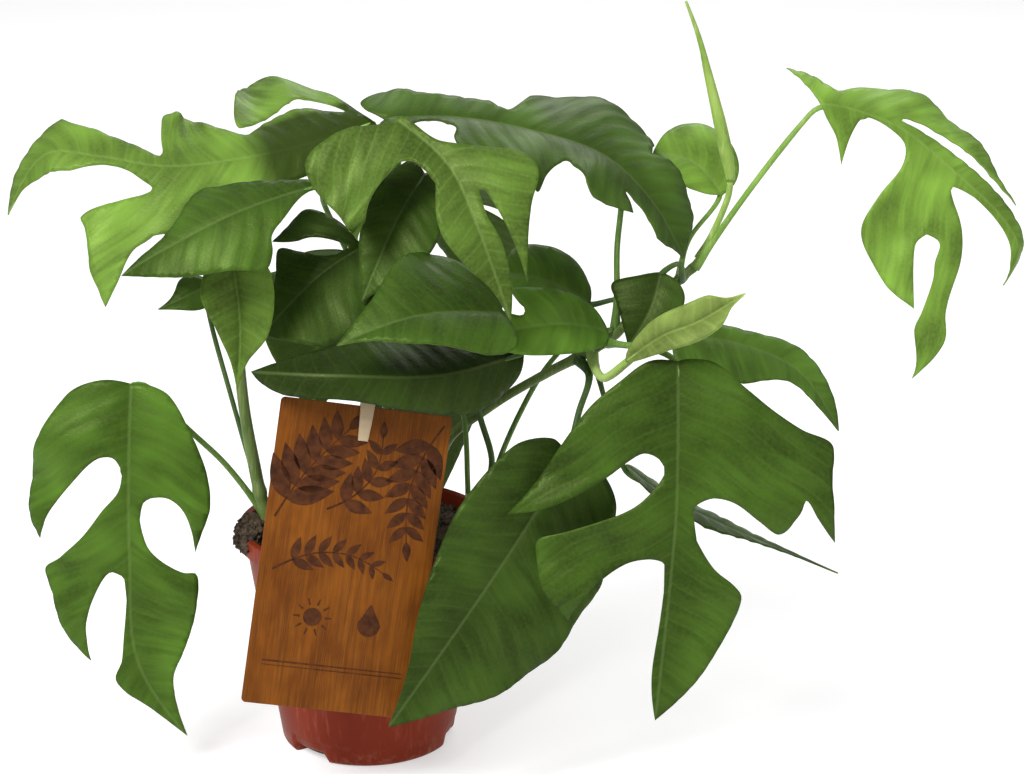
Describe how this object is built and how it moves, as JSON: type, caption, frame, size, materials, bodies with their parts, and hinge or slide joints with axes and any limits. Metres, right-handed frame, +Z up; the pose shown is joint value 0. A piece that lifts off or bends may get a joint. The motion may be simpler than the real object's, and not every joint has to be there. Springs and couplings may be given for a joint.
{
  "type": "potted rhaphidophora tetrasperma",
  "caption": "Young climbing house plant with deeply split leaves on arching stems, a new rolled leaf and a leaning card on a stake, in a round nursery pot.",
  "frame": {"origin": "centre of the flat underside of the pot, where it stands", "axes": "+Z up, -Y towards the viewer who faces the card, +X to that viewer's right, where the long stem reaches"},
  "size_m": [0.467, 0.1881, 0.3556],
  "materials": {
    "pot": "terracotta red moulded plastic, satin",
    "soil": "dark moist potting mix, matt and crumbly",
    "card": "orange-brown wood grain, satin",
    "stake": "pale cream plastic",
    "stem": "smooth green stem with paler joints",
    "leaf_bright": "bright fresh green, satin, quilted between the veins",
    "leaf_mid": "mid green, satin, quilted between the veins",
    "leaf_dark": "deep green, glossier, quilted between the veins",
    "leaf_pale": "pale yellow-green new growth, soft satin"
  },
  "bodies": {
    "root": {"pot": "pot", "soil": "soil", "card": "card", "card_stake": "stake", "stem_left": "stem", "stem_middle": "stem", "stem_right": "stem", "leaf_right_large": "leaf_mid", "leaf_left_hanging": "leaf_mid", "leaf_front_plain": "leaf_dark", "leaf_left_long": "leaf_bright", "leaf_left_plain": "leaf_mid", "leaf_left_folded": "leaf_bright", "leaf_left_small": "leaf_dark", "leaf_top_right": "leaf_dark", "leaf_centre_bright": "leaf_bright", "leaf_centre_upper": "leaf_dark", "leaf_centre_lower": "leaf_mid", "leaf_over_card": "leaf_dark", "leaf_left_dark": "leaf_dark", "leaf_right_inner": "leaf_mid", "leaf_right_inner_back": "leaf_dark", "leaf_right_small": "leaf_dark", "leaf_far_right": "leaf_bright", "leaf_young": "leaf_pale", "leaf_right_behind": "leaf_dark", "leaf_right_edge_on": "leaf_dark", "leaf_back_pale": "leaf_bright", "leaf_back_centre": "leaf_mid", "leaf_back_tall": "leaf_mid", "leaf_back_right": "leaf_mid", "leaf_back_low": "leaf_dark", "new_leaf_spike": "leaf_pale"}
  },
  "joints": []
}
